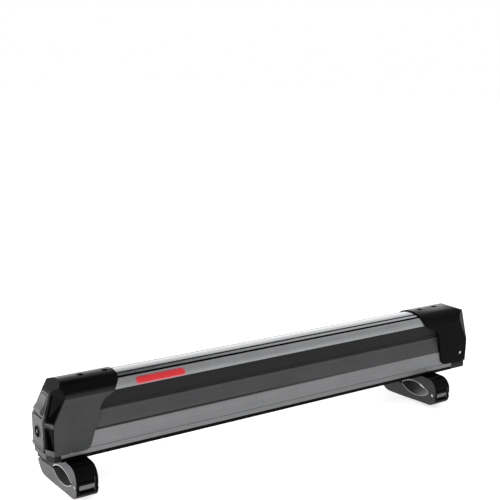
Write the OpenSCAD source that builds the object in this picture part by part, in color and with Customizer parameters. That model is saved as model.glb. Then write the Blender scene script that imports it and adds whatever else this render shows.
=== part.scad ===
// Roof ski rack: a clamping arm hinged to a base rail, on two crossbar clamp feet.
// Working axes: X along the rack from the latch end to the hinge end, Y across it
// (negative Y is the side with the clamp knuckles), Z up from the underside of the lower rail.
// All sizes in millimetres. The finished model is moved so that its origin is the centre
// of the crossbar opening in the latch-side foot.

/* [Rails] */
// Length of the lower aluminium rail
rail_l = 809; // [700:1:900]
// Height of the lower aluminium rail
base_h = 39; // [38:0.5:42]
// Wall thickness of both extrusions
wall = 2.4; // [2:0.1:2.8]
// Width of the mouth of the slot under the lower rail
slot_w = 9.2; // [9.2:0.1:10]

/* [Pads] */
// Height of the lower rubber pad above its rail
low_pad_h = 30; // [26:0.5:30]
// Width of each pad where the two pads meet
pad_waist = 64; // [58:1:68]

/* [End caps] */
// Outside width of the end caps
cap_w = 84; // [84:0.5:88]
// Height of the crowned part of the end caps
crown_h = 26; // [25:0.5:27]
// Wall thickness of the end caps
cap_wall = 2.1; // [1.8:0.1:2.1]

/* [Hinge] */
// Diameter of the hinge pin
pin_d = 8; // [6:0.5:9]
// Height of the hinge pin above the underside of the lower rail
pin_z = 30; // [28:0.5:31]

/* [Latch] */
// Diameter of the striker bar that the pawl hooks under
striker_d = 5; // [4:0.5:5]
// Diameter of the key lock's face
lock_d = 12; // [10:0.5:12]

/* [Crossbar feet] */
// Spacing of the two feet along the rack
foot_spread = 727; // [560:1:735]
// Width of each foot along the crossbar
foot_w = 36; // [34:0.5:40]
// Length of the crossbar opening across the rack
bar_l = 76; // [72:0.5:76]
// Height of the crossbar opening at its middle
bar_h = 25; // [20:0.5:26]
// Thickness of the rubber liners in the opening
liner_t = 1.6; // [1.2:0.1:1.8]

/* [Hidden] */
$fn = 64;

// rails and pads
rail_half = 39;                // half width of the rails
rail_start = 12;               // latch end of the lower rail
rail_end = rail_start + rail_l;
port_y = rail_half - wall - 3; // screw ports in the lower rail
port_z = 24;
pad_half = pad_waist/2;
pad_z = base_h + low_pad_h;    // height at which the pads meet
arm_z = 97;                    // underside of the upper rail
arm_top = 116;                 // top of the upper rail

// hinge and end caps
pin_gap = 20;                  // from the rail's end to the hinge pin
pin_x = rail_end + pin_gap;
pin_r = pin_d/2;
cap_z = 118.5;                 // top of the end caps
cap_half = cap_w/2;            // half width over the side panels
body_half = cap_half - 0.4;    // half width of the crowned body
clip_y = cap_half - 1.15;      // middle of each clip groove in the pin
latch_screw_x = [63.5, 104.5];
hinge_screw_x = [-72, -35];    // measured from the hinge pin
cap_screw_x = concat(latch_screw_x, [for (x = hinge_screw_x) pin_x + x]);

// latch
pawl_x = 16;                   // pawl pivot
pawl_z = 80;
striker_x = pawl_x + 6;
striker_z = 58;
lock_z = 41;
spring_z = 86;                 // axis of the button's spring
indicator_at = [19, 10.9];     // lowest inner corner of an indicator bar, in Y and Z
indicator_size = [9, 25.2];

// feet
foot_x1 = 37;                  // latch-side foot
foot_x2 = foot_x1 + foot_spread;
foot_half = foot_w/2;
open_y = -19.5;                // centre of a crossbar opening
open_z = -31;
arc_r = (pow(bar_l/2, 2) + pow(bar_h/2, 2))/bar_h; // radius of the opening's two arcs
arc_shift = arc_r - bar_h/2;   // how far the arcs' centres lie past the opening's centre
knuckle_y = -67;               // knuckle axis
knuckle_z = -33;
clamp_y = 50;                  // clamp screw axis
nut_z = -23.5;                 // barrel nut axis

black = [0.08, 0.08, 0.085];
pad_black = [0.14, 0.14, 0.145];
cover_grey = [0.2, 0.2, 0.205];
rubber = [0.24, 0.24, 0.245];
button_grey = [0.3, 0.3, 0.305];
lock_grey = [0.5, 0.5, 0.52];
alu = [0.56, 0.57, 0.58];
steel = [0.75, 0.76, 0.78];
bush_white = [0.85, 0.85, 0.8];
red = [0.8, 0.08, 0.1];

// ---- helpers -------------------------------------------------------------

// moves the working frame's parts to the model's origin
module place() translate([-foot_x1, -open_y, -open_z]) children();
module latch_foot() place() translate([foot_x1, 0, 0]) children();
module hinge_foot() place() translate([foot_x2, 0, 0]) children();

// a YZ outline swept along X
module along_x(from, to)
  translate([from, 0, 0]) rotate([90, 0, 90]) linear_extrude(to - from) children();
// an XZ outline swept along Y
module along_y(from, to)
  translate([0, to, 0]) rotate([90, 0, 0]) linear_extrude(to - from) children();
// rounds outside corners
module round_out(r) offset(r = r, $fn = 40) offset(delta = -r) children();
// rounds inside corners
module round_in(r) offset(r = -r, $fn = 40) offset(delta = r) children();
module mirrored_y() {
  children();
  mirror([0, 1, 0]) children();
}
// upper half of an ellipse, as a list of points
function crown(half, rise, foot) =
  [for (i = [0:48]) [half*cos(180*i/48), foot + rise*sin(180*i/48)]];
// the points in reverse order, each scaled by [x, y]
function reflected(points, by) =
  [for (i = [len(points) - 1:-1:0]) [by.x*points[i].x, by.y*points[i].y]];
// outline given by its half at positive Y, for sweeping along X
module symmetric(points) polygon(concat(points, reflected(points, [-1, 1])));
// the same for an outline seen from above
module symmetric_plan(points) polygon(concat(points, reflected(points, [1, -1])));
module box(low, high) translate(low) cube(high - low);
module rod_x(from, to, r) translate([from, 0, 0]) rotate([0, 90, 0]) cylinder(r = r, h = to - from);
module rod_y(from, to, r) translate([0, to, 0]) rotate([90, 0, 0]) cylinder(r = r, h = to - from);
// a round wire of radius wire wound around Z, from z = 0 to height
module coil(r, wire, turns, height) {
  steps = 16*turns;
  facets = 6; // around the wire
  points = [for (i = [0:steps])
    let (turn = 360*i*turns/steps, z = wire + (height - 2*wire)*i/steps)
    for (j = [0:facets - 1])
      let (b = 360*j/facets, reach = r + wire*cos(b))
      [reach*cos(turn), reach*sin(turn), z + wire*sin(b)]];
  sides = [for (i = [0:steps - 1], j = [0:facets - 1])
    let (next = (j + 1)%facets)
    [i*facets + j, (i + 1)*facets + j, (i + 1)*facets + next, i*facets + next]];
  start = [for (j = [0:facets - 1]) j];
  end = [for (j = [facets - 1:-1:0]) steps*facets + j];
  polyhedron(points, concat(sides, [start], [end]), convexity = 8);
}

// ---- rails ---------------------------------------------------------------

// [y, z] up one side of the lower rail; a lip reaches 2 mm below its underside
lower_rail_side = [
  [rail_half - 6, 0], [rail_half - 5.6, -2], [rail_half - 1.3, -2], [rail_half - 1.3, 4.2],
  [rail_half, 4.6], [rail_half, 12], [rail_half - 0.7, 12.5], [rail_half, 13],
  [rail_half, base_h - 1.2], [rail_half - 1.2, base_h]];

module lower_rail() color(alu) along_x(rail_start, rail_end) difference() {
  symmetric(lower_rail_side);
  // upper chamber, with bosses left for the screw ports
  difference() {
    symmetric([[rail_half - wall, 15], [rail_half - wall, base_h - 6]]);
    for (side = [-1, 1]) translate([side*port_y, port_z]) circle(r = 4.4);
  }
  for (side = [-1, 1]) translate([side*port_y, port_z]) circle(r = 2.1);
  // two low side chambers
  for (side = [-1, 1]) scale([side, 1])
    polygon([[14, 2.4], [rail_half - 6, 2.4], [rail_half - wall, 5.6],
             [rail_half - wall, 12.8], [14, 12.8]]);
  // slot for the feet
  translate([-slot_w/2, -1]) square([slot_w, 5]);
  translate([-11.3, 3]) square([22.6, 8]);
  // groove for the pad's key
  translate([-7, base_h - 2.2]) square([14, 3]);
  translate([-10, base_h - 3.8]) square([20, 1.8]);
}

module upper_rail() color(alu) difference() {
  along_x(28, pin_x - 6) difference() {
    polygon(crown(rail_half - 0.2, crown_h - 2, arm_top - crown_h + 2));
    translate([-50, arm_z - 50]) square([100, 50]);
    // chamber
    difference() {
      polygon(crown(rail_half - 2.8, crown_h - 4.6, arm_top - crown_h + 2));
      translate([-50, arm_z - 50]) square([100, 55.4]);
    }
    // two wide grooves along each shoulder
    for (side = [-1, 1]) scale([side, 1]) {
      translate([14, 114.4]) rotate(-13) translate([-2, -1.6]) square([4, 4]);
      translate([23.6, 111.05]) rotate(-25.4) translate([-1.8, -1.6]) square([3.6, 4]);
    }
    // groove for the pad's key
    translate([-7, arm_z - 1]) square([14, 3.2]);
    translate([-10, arm_z + 2]) square([20, 1.8]);
  }
  for (x = cap_screw_x) translate([x, 0, 108]) cylinder(r = 2.1, h = 20);
}

// ---- pads ----------------------------------------------------------------

// [y, distance from the plane where the pads meet]: edge bead and shallow grooves
pad_face = [
  [pad_half + 0.9, 6], [pad_half + 1.7, 4.2], [pad_half + 1.4, 2], [pad_half - 1, 0.25],
  [20, 0.3], [19, 1.5], [17, 1.5], [16, 0.3], [2, 0.3], [1, 1.5]];
function pad_face_points(side) = [for (p = pad_face) [p.x, pad_z + side*p.y]];

// [y, z] from each pad's rail to the face
lower_pad_side = concat([
  [rail_half - 0.9, base_h + 0.05], [rail_half - 1.0, base_h + 3], [rail_half - 2.0, base_h + 9],
  [pad_half + 2.2, pad_z - 9]], pad_face_points(-1));
upper_pad_side = concat([
  [rail_half - 1.2, arm_z - 0.05], [rail_half - 1.3, arm_z - 3], [rail_half - 2.1, arm_z - 9],
  [pad_half + 1.9, pad_z + 8]], pad_face_points(1));

// a pad with its T-shaped key, which enters the rail face at rail_z; side is 1 for upward
module keyed_pad(from, to, outline, rail_z, side) union() {
  along_x(from, to) symmetric(outline);
  along_x(from, to) symmetric([[9.8, rail_z + side*3.7], [9.8, rail_z + side*2.3],
                               [6.8, rail_z + side*2.3], [6.8, rail_z - side]]);
}

module lower_pad() color(rubber) difference() {
  keyed_pad(26, rail_end - 35, lower_pad_side, base_h, -1);
  // slanted latch end
  along_y(-60, 60) polygon([[0, base_h - 6], [31, base_h - 6], [31, base_h], [62.2, pad_z],
                            [64.2, pad_z + 5], [0, pad_z + 5]]);
}

module upper_pad() color(pad_black) keyed_pad(68, rail_end - 36, upper_pad_side, arm_z, 1);

// plate against the slanted end of the lower pad, with an upright horn
module pad_end_stop() color(black) {
  along_y(-pad_half - 0.6, pad_half + 0.6)
    polygon([[27, base_h + 0.05], [30.8, base_h + 0.05], [61.6, pad_z - 0.3], [57.4, pad_z - 0.3]]);
  along_y(-4, 4) round_out(1.6) polygon([
    [31, base_h + 5], [36, base_h + 5], [61, pad_z - 1], [59.5, pad_z + 0.2], [54, pad_z + 2.2],
    [49, pad_z + 5.5], [45, pad_z + 10], [43.4, pad_z + 15], [38.6, pad_z + 15],
    [38, pad_z - 6], [33, pad_z - 16]]);
}

// ---- ends of the base ----------------------------------------------------

// hollow plug that fits the rail's upper chamber
module spigot(from, to) along_x(from, to) difference() {
  half = rail_half - wall - 7.8;
  translate([-half, 15.3]) square([2*half, base_h - 21.6]);
  translate([-18, 19]) square([36, 9]);
}

module latch_base() color(black) difference() {
  union() {
    // block over the rail's end
    difference() {
      intersection() {
        linear_extrude(52)
          symmetric_plan([[-0.6, 32], [2.6, 38.2], [4.2, rail_half], [60, rail_half]]);
        along_y(-50, 50) polygon([
          [-5, 0], [rail_start, 0], [rail_start, base_h + 0.05], [26.6, base_h + 0.05],
          [29.4, 42], [29.4, 46], [23, 52], [6, 52], [-0.6, 44]]);
        along_x(-5, 70) round_out(3) symmetric([[rail_half, -6], [rail_half, 49], [34, 52]]);
      }
      // open bay between the two posts, for the lock and the pawl
      along_x(-5, 40) symmetric([[10, 25], [14, 30], [14, 60]]);
      // recesses for the two indicator bars
      mirrored_y() box(
        [-2, indicator_at.x - 0.1, indicator_at.y - 0.1],
        [0.5, indicator_at.x + indicator_size.x + 0.1, indicator_at.y + indicator_size.y + 0.1]);
    }
    // posts that carry the striker bar
    mirrored_y() along_y(14, 21) round_out(2) polygon([[14.5, 44], [29, 44], [27.6, 64], [17, 64]]);
    // lower foot of the block
    intersection() {
      linear_extrude(14)
        symmetric_plan([[-6.5, 24], [0.5, rail_half + 0.5], [rail_start, rail_half + 0.5]]);
      along_y(-50, 50) round_out(1.5)
        polygon([[-6.5, 0.5], [rail_start + 3, 0.5], [rail_start + 3, 10.5], [-6.5, 10.5]]);
    }
    spigot(rail_start - 1, rail_start + 14);
  }
  // screw holes
  for (side = [-1, 1]) translate([0, side*port_y, port_z]) {
    rod_x(-10, rail_start + 1, 2.2);
    rod_x(-10, 5.6, 4.1);
  }
  // striker bore
  translate([striker_x, 0, striker_z]) rod_y(-20.6, 20.6, striker_d/2 + 0.03);
}

module release_indicators() color(red) mirrored_y()
  along_x(-0.9, 0.45) translate(indicator_at) round_out(2) square(indicator_size);

module striker_bar() color(steel)
  translate([striker_x, 0, striker_z]) rod_y(-20.5, 20.5, striker_d/2);

// built with X measured from the rail's end
module hinge_base() color(black) translate([rail_end, 0, 0]) {
  foot_end = pin_gap + 15.6;
  lug_r = 11;
  lug_end = pin_gap + lug_r;
  difference() {
    union() {
      // foot of the block, flush with the rail
      intersection() {
        along_x(0, foot_end) round_out(0.8)
          symmetric([[rail_half - 1.6, -2], [rail_half, 4.6], [rail_half, 10.5]]);
        translate([0, 0, -4]) linear_extrude(24) round_out(4)
          translate([-10, -rail_half]) square([foot_end + 10, 2*rail_half]);
      }
      // block on top of the rail, almost level with the pad
      intersection() {
        linear_extrude(pad_z) round_out(8) translate([-34, -34]) square([36, 68]);
        along_y(-50, 50) polygon([[-40, base_h + 0.05], [0.05, base_h + 0.05], [0.05, 52],
                                  [-6, pad_z - 1.2], [-40, pad_z - 1.2]]);
      }
      // lugs around the pin
      mirrored_y() along_y(20, 38.2) round_in(3) union() {
        translate([pin_gap, pin_z]) circle(r = lug_r);
        polygon([[0, 9], [lug_end, 9], [lug_end, pin_z], [pin_gap, pin_z + lug_r], [0, 52]]);
      }
      // web joining lugs and block
      box([0, -38.2, 9], [5, 38.2, 52]);
      spigot(-14, 1);
    }
    translate([pin_gap, 0, pin_z]) rod_y(-60, 60, pin_r + 0.02);
    // screw holes
    for (side = [-1, 1]) translate([0, side*port_y, port_z]) {
      rod_x(-2, 8, 2.2);
      rod_x(5, pin_gap + 30, 4.1);
    }
    // hollow in the foot, and an opening above it through the end
    box([8, -30, 3], [pin_gap + 9, 30, 9.2]);
    box([5, -20, 8], [pin_gap + 30, 20, 12]);
  }
}

// screw pointing along X, with a hexagon socket in its head
module end_screw(length) difference() {
  union() {
    rod_x(0, length, 2);
    rod_x(-3, 0.2, 3.9);
  }
  rod_x(-4, -1.6, 1.6, $fn = 6);
}
module base_end_screws() color(steel) for (side = [-1, 1]) {
  translate([5.4, side*port_y, port_z]) end_screw(22);
  translate([rail_end + 5.2, side*port_y, port_z]) mirror([1, 0, 0]) end_screw(20);
}

module hinge_pin() color(steel) translate([pin_x, 0, pin_z]) difference() {
  rod_y(-cap_half + 0.2, cap_half - 0.2, pin_r);
  // clip grooves
  mirrored_y() difference() {
    rod_y(clip_y - 0.3, clip_y + 0.3, pin_r + 1);
    rod_y(clip_y - 1, clip_y + 1, pin_r - 0.6);
  }
}

// open spring clips in the pin's two grooves
module hinge_pin_clips() color(steel) translate([pin_x, 0, pin_z]) mirrored_y()
  along_y(clip_y - 0.25, clip_y + 0.25) difference() {
    circle(r = pin_r + 1.3);
    circle(r = pin_r - 0.55);
    polygon([[0, 0], [12, -5], [12, 5]]);
  }

// ---- end caps ------------------------------------------------------------

module cap_section() polygon(concat(
  [[body_half, -40]], crown(body_half, crown_h, cap_z - crown_h), [[-body_half, -40]]));
module cap_bore() offset(delta = -cap_wall, $fn = 40) cap_section();
module screw_seat(x) translate([x, 0, 0]) {
  translate([0, 0, 100]) cylinder(r = 2.2, h = 30);
  translate([0, 0, cap_z - 1.4]) cylinder(r = 5.2, h = 5);
}
// everything past x = start
module beyond(start) translate([start, -120, -120]) cube([80, 240, 240]);

// [x, z] down the hinge-side edge of the latch cap and back along its bottom
latch_edge = [
  [103, 97.5], [94.5, 92.5], [86, 88], [80.5, 82], [77, 74], [74, 62], [66.5, 36], [60.5, 18],
  [57, 13.2], [51.5, 11.2], [30.5, 11.2], [29, 12.6], [26.5, 12.6], [24.5, 11.2]];
// [x, z] side views of the latch cap's body and of its flat side panels
latch_side = concat([
  [-8, 11.4], [-8, 62], [8, 105.5], [27, cap_z + 1], [118.5, cap_z + 1], [117, 115],
  [114.5, 111], [108, 104.5]], latch_edge, [[0, 11.2]]);
panel_side = concat([[0.8, 11.2], [0.8, 59], [20.6, 98], [103.2, 98]], latch_edge);

// frame of the slanting facet across each upper corner of the latch cap; X points outward
module corner_facet() mirrored_y()
  translate([0.8, -cap_half, 59]) rotate([0, -23.35, -148.75]) children();

module latch_cap() color(black) {
  difference() {
    union() {
      intersection() {
        along_x(-8, 119) cap_section();
        along_y(-50, 50) polygon(latch_side);
        linear_extrude(130)
          symmetric_plan([[-8, 25], [0.5, cap_half + 1], [130, cap_half + 1]]);
      }
      mirrored_y() along_y(cap_half - 2, cap_half) round_out(1) polygon(panel_side);
    }
    // hollow
    difference() {
      intersection() {
        along_x(-5.4, 120) cap_bore();
        along_y(-50, 50) polygon([[-5.4, -10], [-5.4, 61.6], [10.2, 104.2], [27.8, cap_z],
                                  [140, cap_z], [140, -10]]);
        translate([0, 0, -10]) linear_extrude(150)
          symmetric_plan([[-5.4, 24.2], [2, 38.8], [2, 45], [140, 45]]);
      }
      // walls kept behind the corner facets
      corner_facet() beyond(-4.1);
    }
    // window for the end cover and the button
    along_x(-12, 12) symmetric([[23.4, 8], [23.4, 19.8], [21, 19.8], [21, 66], [13.2, 101.5]]);
    // corner facets, with a shallow hollow in each
    corner_facet() beyond(0);
    corner_facet() along_x(-2.2, 6)
      polygon([[-1.2, 3.6], [-16.2, 6.2], [-16.3, 46], [6.2, 40.2]]);
    // stepped recesses below the facets
    mirrored_y() translate([-3.75, 33.5, 0]) rotate([0, 0, 63.4]) {
      box([-7.6, -1, 20], [7.6, 5, 55.5]);
      box([-3, -1.9, 22], [3, 5, 53.5]);
    }
    for (x = latch_screw_x) screw_seat(x);
  }
  // ribs that carry the pawl's pin, and a seat for the button's spring
  difference() {
    union() {
      mirrored_y() along_y(8, 11) polygon([
        [9.6, 79], [12.5, 72], [20, 72], [25, 80], [26.4, 95], [26.4, 116.9], [24.8, 116.9],
        [14.6, 109.1], [14.3, 101], [12.6, 96], [9.6, 89]]);
      box([9.6, -8.4, 83.5], [11, 8.4, 88.5]);
    }
    translate([pawl_x, 0, pawl_z]) rod_y(-20, 20, 2.53);
  }
}

// X and Z here are measured from the hinge pin's X and the rail's underside.
// [x, z] side views of the hinge cap's body and of its raised side plates
hinge_side = [
  [-94, cap_z + 1], [-93, 100], [-86.5, 93.4], [-76, 89.3], [-66.5, 85], [-59.8, 75.8],
  [-58.2, 68.5], [-56, 58], [-54, 45], [-50.4, 25.5], [-48.8, 18.9], [-45, 14.8], [-38, 12.4],
  [-12, 12], [14, 12], [15.2, 30], [16, 46], [16, 111], [-8.4, cap_z + 1]];
hinge_plate = [
  [-90, 97], [-85, 92], [-75, 87.7], [-65.2, 83.6], [-58.8, 74.5], [-57.2, 67.5], [-55, 57],
  [-53, 44], [-49.4, 24.5], [-47.6, 18.6], [-44, 15.6], [-37.5, 13.2], [13.4, 12.8],
  [14.6, 30], [15.4, 46], [15, 61], [-1.2, 88.3], [-5.8, 97.5]];

// what lies outside a plane set the given depth inside each slanting corner facet
module past_hinge_corner(depth) mirrored_y()
  translate([-1, -cap_half, 88]) rotate([0, -13.42, -61.56]) beyond(-depth);

module hinge_cap() color(black) translate([pin_x, 0, 0]) difference() {
  union() {
    intersection() {
      along_x(-107, 16) cap_section();
      along_y(-50, 50) round_out(1) polygon(hinge_side);
    }
    mirrored_y() along_y(cap_half - 2, cap_half) round_out(2) polygon(hinge_plate);
  }
  past_hinge_corner(0);
  // hollow, open below and at the bottom of the end wall
  difference() {
    intersection() {
      along_x(-120, 22) cap_bore();
      along_y(-50, 50) polygon([[-130, -10], [22, -10], [22, 44], [13.8, 46], [13.8, 109.2],
                                [-6.6, cap_z - 2], [-130, cap_z - 1.6]]);
    }
    past_hinge_corner(2.1);
  }
  box([4, -39.5, -10], [22, 39.5, 44]);
  // bush seats and clip recesses
  translate([0, 0, pin_z]) {
    rod_y(-60, 60, pin_r + 1.6);
    rod_y(-60, -cap_half + 1, pin_r + 2.6);
    rod_y(cap_half - 1, 60, pin_r + 2.6);
  }
  for (x = hinge_screw_x) screw_seat(x);
}

module hinge_bushes() color(bush_white) translate([pin_x, 0, pin_z]) mirrored_y() difference() {
  union() {
    rod_y(38.4, cap_half - 1.5, pin_r + 1.58);
    rod_y(38.4, body_half - cap_wall - 0.1, pin_r + 3);
  }
  rod_y(30, 60, pin_r + 0.05);
}

module cap_screws() color(steel) for (x = cap_screw_x) translate([x, 0, 0]) difference() {
  union() {
    translate([0, 0, 104]) cylinder(r = 2, h = cap_z - 1.2 - 104);
    translate([0, 0, cap_z - 1.35]) cylinder(r1 = 4, r2 = 3.4, h = 1.6);
  }
  translate([0, 0, cap_z - 1.0]) cylinder(r = 1.7, h = 3, $fn = 6);
}

// ---- latch ---------------------------------------------------------------

module latch_end_cover() color(cover_grey) difference() {
  union() {
    intersection() {
      along_y(-20.8, 20.8) polygon([[-8.7, 17], [-8.7, 62.2], [5.8, 101.2], [8.7, 101.2],
                                    [-5.7, 62.7], [-5.7, 17]]);
      along_x(-20, 20) symmetric([[20.8, 10], [20.8, 66], [13, 101.3]]);
    }
    // lip under the cover
    along_y(-23, 23)
      polygon([[-10.2, 16.2], [-5.4, 16.2], [-5.4, 19.4], [-9.2, 19.4], [-10.2, 18.4]]);
    // rim around the lock
    translate([0, 0, lock_z]) rod_x(-9.5, -6, 11);
  }
  translate([0, 0, lock_z]) rod_x(-12, 0, 8.05);
  // button window
  along_x(-20, 20) symmetric([[16, 64.6], [11.4, 98.5]]);
}

module lock_housing() color(steel) translate([0, 0, lock_z]) difference() {
  union() {
    rod_x(-9.9, 0, 8.0);
    rod_x(-10.3, -9.6, 9.2);
  }
  rod_x(-12, 2, lock_d/2 + 0.05);
}

// the cylinder has an upright keyway
module lock_cylinder() color(lock_grey) translate([0, 0, lock_z]) difference() {
  rod_x(-10.1, 0.2, lock_d/2);
  box([-11, -0.8, -3.6], [-5, 0.8, 3.6]);
}

module lock_cam() color(steel) translate([0, 0, lock_z]) along_x(0.25, 2.6) union() {
  circle(r = 4.6);
  translate([0, -2.6]) square([8.6, 5.2]);
}

// the button slides along X; its thumb ridge stands out over a hollow
module release_button() color(button_grey) difference() {
  union() {
    intersection() {
      along_x(-20, 20) symmetric([[15.6, 64.6], [11, 98.2]]);
      along_y(-15.6, 15.6) round_out(0.6) polygon([
        [-5.6, 65], [-5.9, 69.4], [-8.4, 72.4], [-9.5, 74.2], [-9.5, 75.6], [-7.6, 79.2],
        [-4.4, 82.6], [-1.6, 86.2], [1.2, 92], [3.8, 98.1], [8.6, 98.1], [-3, 66.6], [-3.4, 65]]);
    }
    // retaining flange behind the cover
    intersection() {
      along_x(-20, 20) symmetric([[18, 64], [12.8, 101]]);
      along_y(-18, 18)
        polygon([[-4.7, 64.2], [-3.4, 64.2], [10.3, 100.6], [8.8, 100.6], [-4, 66.2]]);
    }
    // plunger
    along_y(-4.4, 4.4) polygon([[5, 95], [11.8, 95], [11.8, 98.1], [6.2, 98.1]]);
    // spring pocket
    translate([0, 0, spring_z]) rod_x(1, 5.5, 5);
  }
  translate([0, 0, spring_z]) rod_x(1.6, 12, 3.9);
}

module button_spring() color(steel) translate([1.7, 0, spring_z]) rotate([0, 90, 0])
  coil(r = 3.1, wire = 0.45, turns = 4, height = 7.8);

module latch_pawl() color(steel) along_y(-5, 5) difference() {
  round_in(1) translate([pawl_x, pawl_z]) union() {
    circle(r = 6);
    // upper arm
    polygon([[-4, 2], [-4, 19.4], [-0.6, 19.4], [3.6, 4]]);
    // lower arm and hook
    polygon([[-4.4, 2], [4.4, 2], [2.4, -18], [2.4, -24.9], [7.5, -24.9], [7.5, -26.6],
             [4.5, -28.5], [-4.5, -28.5]]);
  }
  translate([pawl_x, pawl_z]) circle(r = 2.56);
}

module pawl_pin() color(steel) translate([pawl_x, 0, pawl_z]) rod_y(-11.5, 11.5, 2.5);

module pawl_spring() color(steel) translate([pawl_x, 5.3, pawl_z]) rotate([-90, 0, 0])
  coil(r = 3.5, wire = 0.35, turns = 2, height = 2.4);

// ---- crossbar feet, each built with X measured from its middle -----------

// [y, z] outline of both jaws together
foot_outline = [
  [31.4, -0.3], [31.4, -2.4], [45, -2.4], [57, -6], [70, -16.5], [79.5, -27], [82, -31],
  [82, -39], [79, -44.5], [72, -52.5], [65, -57.2], [56, -59], [43, -59], [10, -57.4],
  [-30, -54.8], [-61, -53.4], [-68.5, -50.6], [-74, -45], [-76.2, -38], [-76.2, -24],
  [-75.6, -17.5], [-72.5, -11.5], [-68.4, -7], [-63.8, -4], [-56, -2.6], [-46, -2.4],
  [-31.4, -2.4], [-31.4, -0.3]];
// [y, z] of the upper jaw's lower edge, then closed below it
below_upper_jaw = [
  [-100, -31.15], [-57.5, -31.15], [18.5, -31.15], [30, -31.4], [60, -33.6], [100, -37],
  [100, -90], [-100, -90]];
// [y, z] of the lower jaw's upper edge, then closed above it
above_lower_jaw = [
  [-100, -35.6], [-74.9, -35.6], [-73.5, -31.6], [-57.5, -31.6], [18.5, -31.6], [30, -32.2],
  [60, -35.9], [100, -41.4], [100, 20], [-100, 20]];

module foot_shape() round_in(2) round_out(1.2) polygon(foot_outline);
// disc on the centre of one arc of the opening; side is 1 for the upper arc, -1 for the lower
module arc_disc(side, r) translate([open_y, open_z - side*arc_shift]) circle(r = r, $fn = 128);
module upper_shape() difference() {
  foot_shape();
  polygon(below_upper_jaw);
  arc_disc(1, arc_r + liner_t);
}
module lower_shape() difference() {
  foot_shape();
  translate([0, -0.3]) polygon(above_lower_jaw);
  arc_disc(-1, arc_r + liner_t);
}
module knuckle_disc(r) translate([knuckle_y, knuckle_z]) circle(r = r);
module knuckle_rod(reach, r) translate([0, knuckle_y, knuckle_z]) rod_x(-reach, reach, r);

module upper_jaw() color(black) difference() {
  union() {
    along_x(-foot_half, foot_half) difference() {
      upper_shape();
      knuckle_disc(8.5);
      // thin lines along the outside face
      for (p = [[-61.4, -2.6], [-70.6, -8.2]]) translate(p) circle(r = 0.8, $fn = 24);
    }
    // middle barrel of the knuckle
    along_x(-foot_half + 5.3, foot_half - 5.3) union() {
      knuckle_disc(7.6);
      intersection() {
        upper_shape();
        polygon([[-74.5, -29], [-58, -29], [-58, -15], [-74.5, -15]]);
      }
      polygon([[knuckle_y, knuckle_z], [-59.6, -31.4], [-59.6, -24], [knuckle_y - 4, -24],
               [knuckle_y - 7.4, -31.5]]);
    }
  }
  // recessed window above the knuckle
  box([-foot_half + 5, -90, -25.2], [foot_half - 5, knuckle_y - 5.8, -18.6]);
  box([-foot_half + 5, -90, -32], [foot_half - 5, -74.6, -18.6]);
  knuckle_rod(60, 3.02);
  // clamp screw and its barrel nut
  translate([0, clamp_y, -60]) cylinder(r = 4.5, h = 57.6);
  translate([0, clamp_y, nut_z]) rod_x(-15.1, 60, 7.05);
  // mounting bolt and its head
  translate([0, 0, -20]) cylinder(r = 3.1, h = 30);
  translate([0, 0, -40]) cylinder(r = 6, h = 28.2);
  // hollow between the bar opening and the clamp screw
  along_x(-foot_half + 3.4, foot_half - 3.4) round_out(1.5)
    polygon([[26, -3.6], [38, -3.6], [38, -27], [26, -25.6]]);
}

module lower_jaw() color(black) difference() {
  union() {
    along_x(-foot_half, foot_half) lower_shape();
    // outer barrels of the knuckle
    for (side = [-1, 1]) translate([side*(foot_half - 2.5), 0, 0]) along_x(-2.5, 2.5) union() {
      knuckle_disc(8);
      polygon([[knuckle_y - 8, knuckle_z], [knuckle_y - 8.6, -40], [knuckle_y, -46],
               [knuckle_y + 8, -40], [knuckle_y + 8, knuckle_z]]);
    }
  }
  // room for the middle barrel
  along_x(-foot_half + 5, foot_half - 5) union() {
    knuckle_disc(8);
    polygon([[-90, -41], [knuckle_y, -41], [knuckle_y, -20], [-90, -20]]);
    polygon([[knuckle_y, knuckle_z], [knuckle_y + 9, -31], [knuckle_y + 9, -20],
             [knuckle_y - 14, -20], [knuckle_y - 14, -31], [knuckle_y - 8, knuckle_z]]);
  }
  knuckle_rod(60, 3.05);
  // slot for the clamp screw, and a pocket for its head
  translate([0, clamp_y, -80]) {
    box([-4.7, -4.8, 0], [4.7, 10.4, 60]);
    box([-9, -9.2, 0], [9, 14.6, 31.5]);
  }
  // coring from below
  for (y = [-44:17:7]) box([-foot_half + 4, y, -90], [foot_half - 4, y + 13, -49.4]);
}

module jaw_pin() color(steel) knuckle_rod(foot_half - 0.4, 3);

module clamp_screw() color(steel) translate([0, clamp_y, 0]) difference() {
  union() {
    translate([0, 0, -49]) cylinder(r = 4, h = 45);
    translate([0, 0, -50.4]) cylinder(r = 8.4, h = 1.6);
    translate([0, 0, -56.4]) cylinder(r = 6.5, h = 6.2);
  }
  translate([0, 0, -57]) cylinder(r = 2.9, h = 5, $fn = 6);
}

module barrel_nut() color(steel) difference() {
  translate([0, clamp_y, nut_z]) rod_x(-14.8, foot_half - 0.4, 7);
  translate([0, clamp_y, -40]) cylinder(r = 4.05, h = 50);
}

module liner(side) along_x(-foot_half + 0.2, foot_half - 0.2) intersection() {
  difference() {
    arc_disc(side, arc_r + liner_t - 0.03);
    arc_disc(side, arc_r);
  }
  // stops 0.6 short of the opening's middle plane
  translate([open_y - 37, open_z + side*20.6 - 20]) square([74, 40]);
}
module upper_liner() color(rubber) difference() {
  liner(1);
  translate([0, 0, -40]) cylinder(r = 6.2, h = 40);
}
module lower_liner() color(rubber) liner(-1);

module slide_nut() color(steel) difference() {
  union() {
    box([-16, -11, 3.3], [16, 11, 7.8]);
    box([-16, -4.4, 0.2], [16, 4.4, 4]);
  }
  translate([0, 0, -5]) cylinder(r = 3.05, h = 20);
}

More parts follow.
